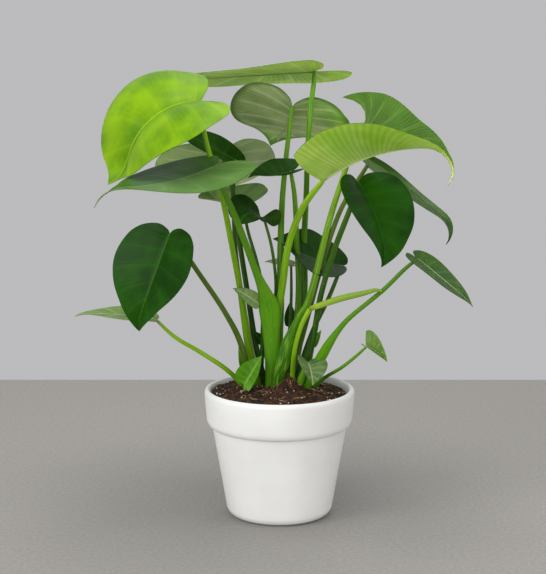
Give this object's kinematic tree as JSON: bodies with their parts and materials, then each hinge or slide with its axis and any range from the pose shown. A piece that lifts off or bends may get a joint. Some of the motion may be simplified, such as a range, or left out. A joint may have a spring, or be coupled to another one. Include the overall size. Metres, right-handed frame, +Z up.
{
  "type": "potted monstera plant",
  "caption": "Young bushy monstera with whole heart-shaped leaves on long stalks, growing from dark soil in a plain white collar pot.",
  "frame": {"origin": "centre of the pot's flat underside, on the pot's axis", "axes": "+Z up along the pot's axis, -Y towards the plant's shown side, +X to the right seen from there"},
  "size_m": [0.3831, 0.3441, 0.4531],
  "materials": {
    "pot": "satin white glaze",
    "soil": "moist potting mix with bark, fibre and white grains",
    "lime_leaf": "glossy young leaf",
    "lime_stem": "smooth lime stalk",
    "dark_leaf": "glossy dark leaf",
    "dark_stem": "smooth dark stalk",
    "mid_stem": "smooth green stalk",
    "pale_leaf": "matt pale underside",
    "bright_leaf": "smooth bright green"
  },
  "bodies": {
    "root": {"pot": "pot", "soil": "soil", "lime_left_blade": "lime_leaf", "lime_left_stem": "lime_stem", "flat_left_blade": "dark_leaf", "flat_left_stem": "bright_leaf", "behind_left_blade": "dark_leaf", "behind_left_stem": "dark_stem", "pale_left_blade": "pale_leaf", "pale_left_stem": "dark_stem", "dark_centre_blade": "dark_leaf", "dark_centre_stem": "mid_stem", "lime_right_blade": "lime_leaf", "lime_right_stem": "lime_stem", "pale_back_blade": "pale_leaf", "pale_back_stem": "mid_stem", "top_leaf_blade": "pale_leaf", "top_leaf_stem": "mid_stem", "dark_heart_blade": "dark_leaf", "dark_heart_stem": "dark_stem", "dark_droop_blade": "dark_leaf", "dark_droop_stem": "mid_stem", "back_right_blade": "lime_leaf", "back_right_stem": "lime_stem", "dark_behind_blade": "dark_leaf", "dark_behind_stem": "dark_stem", "curled_small_blade": "dark_leaf", "curled_small_stem": "dark_stem", "pale_small_blade": "pale_leaf", "pale_small_stem": "dark_stem", "right_leaf_blade": "dark_leaf", "right_leaf_stem": "bright_leaf", "heart_left_blade": "dark_leaf", "heart_left_stem": "mid_stem", "lime_low_blade": "lime_leaf", "lime_low_stem": "lime_stem", "triangle_blade": "pale_leaf", "triangle_stem": "lime_stem", "pale_behind_blade": "pale_leaf", "pale_behind_stem": "dark_stem", "rolled_leaf_blade": "lime_leaf", "rolled_leaf_stem": "lime_stem", "front_sprout": "bright_leaf", "side_sheath": "mid_stem", "bud_leaf": "dark_leaf", "folded_sprout": "bright_leaf", "stub_leaf": "mid_stem", "back_sprout": "dark_leaf"}
  },
  "joints": []
}
